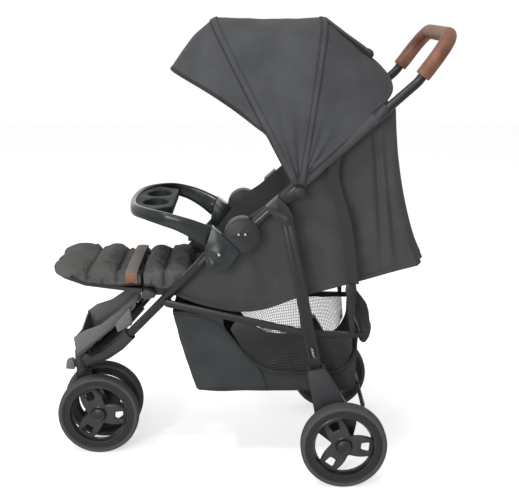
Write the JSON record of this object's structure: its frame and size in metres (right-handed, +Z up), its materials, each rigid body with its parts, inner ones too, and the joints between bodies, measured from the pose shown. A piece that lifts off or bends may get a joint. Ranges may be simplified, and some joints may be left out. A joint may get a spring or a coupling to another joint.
{
  "type": "stroller",
  "caption": "Folding stroller with a swivelling front caster, hooped canopy, reclining quilted seat, leg rest, snack tray and under-seat basket.",
  "frame": {"origin": "centre of the footprint on the ground, as bounding box bottom centre", "axes": "+Z up, the child faces -Y, the push handle is at +Y, X across the stroller"},
  "size_m": [0.52, 0.9339, 1.0601],
  "materials": {
    "frame_black": "semi-gloss black paint",
    "housing_black": "satin black moulded plastic",
    "tray_gloss": "glossy near-black plastic",
    "footrest_grey": "satin mid-grey plastic",
    "shell_cloth": "dark grey plain-woven polyester",
    "pad_cloth": "dark grey quilted polyester",
    "webbing": "black woven webbing",
    "basket_cloth": "black woven cloth and net",
    "tan_leather": "orange-brown leather look",
    "tyre_foam": "matt black foam",
    "rim_black": "satin black moulded plastic",
    "bright_steel": "bright steel"
  },
  "bodies": {
    "upper_frame": {"handle_tube": "frame_black", "handle_grip": "tan_leather", "fold_hub_near": "housing_black", "fold_hub_far": "housing_black", "armrest_near": "tray_gloss", "armrest_far": "tray_gloss", "leg_bracket_near": "housing_black", "leg_bracket_far": "housing_black", "seat_board": "housing_black", "seat_pad": "pad_cloth", "crotch_strap": "webbing", "harness_buckle": "housing_black", "side_panel_near": "shell_cloth", "side_panel_far": "shell_cloth", "back_curtain": "shell_cloth", "side_strap_near": "webbing", "side_strap_far": "webbing", "canopy_clip_near": "housing_black", "canopy_clip_far": "housing_black", "canopy_back": "shell_cloth"},
    "tray": {"tray": "tray_gloss"},
    "front_frame": {"front_leg_near": "frame_black", "front_leg_far": "frame_black", "front_crown": "housing_black", "footrest": "footrest_grey"},
    "caster": {"caster_fork": "housing_black", "front_axle": "bright_steel"},
    "lock_lever": {"swivel_lock": "footrest_grey"},
    "front_wheel_near": {"front_tyre_near": "tyre_foam", "front_rim_near": "rim_black"},
    "front_wheel_far": {"front_tyre_far": "tyre_foam", "front_rim_far": "rim_black"},
    "rear_frame": {"rear_leg_near": "frame_black", "rear_leg_far": "frame_black", "rear_spring_near": "bright_steel", "rear_spring_far": "bright_steel", "rear_foot_near": "housing_black", "rear_foot_far": "housing_black", "rear_axle": "frame_black"},
    "brake": {"brake_bar": "housing_black"},
    "rear_wheel_near": {"rear_tyre_near": "tyre_foam", "rear_rim_near": "rim_black"},
    "rear_wheel_far": {"rear_tyre_far": "tyre_foam", "rear_rim_far": "rim_black"},
    "side_rails": {"side_rail_near": "frame_black", "side_rail_far": "frame_black", "basket_rim": "frame_black", "basket": "basket_cloth"},
    "legrest": {"legrest_board": "housing_black", "legrest_pad": "pad_cloth"},
    "backrest": {"backrest_board": "housing_black", "backrest_pad": "pad_cloth", "shoulder_belt_near": "webbing", "shoulder_belt_far": "webbing"},
    "bow_rear": {"bow_rear": "frame_black", "canopy_middle": "shell_cloth"},
    "bow_front": {"bow_front": "frame_black", "canopy_visor": "shell_cloth"},
    "window_flap": {"window_flap": "shell_cloth"}
  },
  "joints": [
    {"name": "frame_fold", "type": "hinge", "parent": "upper_frame", "child": "front_frame", "pos_m": [0, -0.06, 0.5425], "axis": [1, 0, 0], "range_deg": [0, 90], "deforming": ["side_panel_near", "side_panel_far", "back_curtain", "side_strap_near", "side_strap_far", "basket"]},
    {"name": "rear_fold", "type": "hinge", "parent": "upper_frame", "child": "rear_frame", "pos_m": [0, 0.0922, 0.6248], "axis": [1, 0, 0], "range_deg": [0, 65.42]},
    {"name": "rail_fold", "type": "hinge", "parent": "front_frame", "child": "side_rails", "pos_m": [0, -0.18, 0.42], "axis": [1, 0, 0], "range_deg": [-53.25, 0]},
    {"name": "caster_swivel", "type": "hinge", "parent": "front_frame", "child": "caster", "pos_m": [0, -0.41, 0.206], "axis": [0, 0, 1], "continuous": true},
    {"name": "swivel_lock_slide", "type": "slide", "parent": "front_frame", "child": "lock_lever", "axis": [0, 0, 1], "range_m": [0, 0.006]},
    {"name": "front_spin_near", "type": "hinge", "parent": "caster", "child": "front_wheel_near", "pos_m": [0.05, -0.367, 0.1], "axis": [1, 0, 0], "continuous": true},
    {"name": "front_spin_far", "type": "hinge", "parent": "caster", "child": "front_wheel_far", "pos_m": [-0.05, -0.367, 0.1], "axis": [1, 0, 0], "continuous": true},
    {"name": "brake_press", "type": "hinge", "parent": "rear_frame", "child": "brake", "pos_m": [0, 0.247, 0.142], "axis": [1, 0, 0], "range_deg": [-20, 0]},
    {"name": "rear_spin_near", "type": "hinge", "parent": "rear_frame", "child": "rear_wheel_near", "pos_m": [0.24, 0.225, 0.1], "axis": [1, 0, 0], "continuous": true},
    {"name": "rear_spin_far", "type": "hinge", "parent": "rear_frame", "child": "rear_wheel_far", "pos_m": [-0.24, 0.225, 0.1], "axis": [1, 0, 0], "continuous": true},
    {"name": "recline", "type": "hinge", "parent": "upper_frame", "child": "backrest", "pos_m": [0, 0.044, 0.43], "axis": [1, 0, 0], "range_deg": [0, 50]},
    {"name": "legrest_tilt", "type": "hinge", "parent": "upper_frame", "child": "legrest", "pos_m": [0, -0.231, 0.435], "axis": [1, 0, 0], "range_deg": [0, 25]},
    {"name": "tray_slide", "type": "slide", "parent": "upper_frame", "child": "tray", "axis": [0, -0.898, 0.44], "range_m": [0, 0.03]},
    {"name": "canopy_fold", "type": "hinge", "parent": "upper_frame", "child": "bow_rear", "pos_m": [0, 0.121, 0.685], "axis": [1, 0, 0], "range_deg": [-30, 0], "deforming": ["canopy_back"]},
    {"name": "canopy_spread", "type": "hinge", "parent": "bow_rear", "child": "bow_front", "pos_m": [0, 0.121, 0.685], "axis": [1, 0, 0], "range_deg": [-32, 0], "deforming": ["canopy_middle"]},
    {"name": "window_flap_lift", "type": "hinge", "parent": "bow_rear", "child": "window_flap", "pos_m": [0, 0.18952, 1.05818], "axis": [1, 0, 0], "range_deg": [0, 110]}
  ],
  "couplings": [
    {"joint": "rear_fold", "follows": "frame_fold", "ratio": 0.7268},
    {"joint": "rail_fold", "follows": "frame_fold", "ratio": -0.5916},
    {"joint": "canopy_spread", "follows": "canopy_fold", "ratio": 1.0666}
  ]
}
